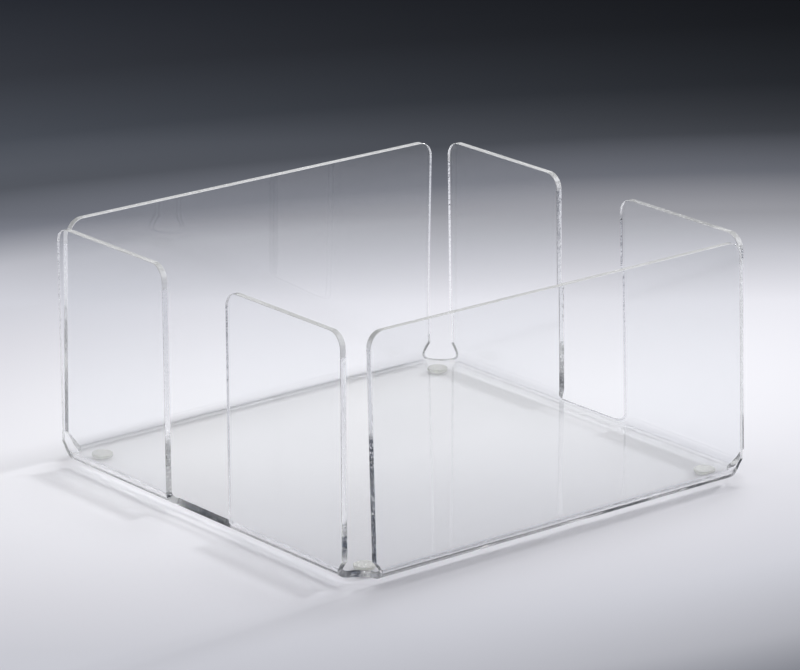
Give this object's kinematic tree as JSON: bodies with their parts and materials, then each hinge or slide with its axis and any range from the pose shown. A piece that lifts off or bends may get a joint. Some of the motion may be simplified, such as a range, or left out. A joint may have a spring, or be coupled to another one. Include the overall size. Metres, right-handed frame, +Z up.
{
  "type": "napkin holder",
  "caption": "Square open-topped tray for a stack of folded napkins, bent from one clear sheet, with a finger gap in the middle of each end and small round stick-on feet.",
  "frame": {"origin": "centre of the holder on the surface it stands on, which the flats of the four bumpers touch", "axes": "+Z up; +X along the two whole walls, towards the right end; +Y from the front wall to the back wall. The two split ends face -X and +X"},
  "size_m": [0.19, 0.186, 0.0932],
  "materials": {
    "clear_acrylic": "clear, polished faces and laser-cut edges",
    "clear_urethane": "clear soft urethane, glossy",
    "clear_adhesive": "milky clear adhesive film"
  },
  "bodies": {
    "root": {"bent_sheet": "clear_acrylic", "bumper_front_left": "clear_urethane", "bumper_front_right": "clear_urethane", "bumper_back_left": "clear_urethane", "bumper_back_right": "clear_urethane", "adhesive_front_left": "clear_adhesive", "adhesive_front_right": "clear_adhesive", "adhesive_back_left": "clear_adhesive", "adhesive_back_right": "clear_adhesive"}
  },
  "joints": []
}
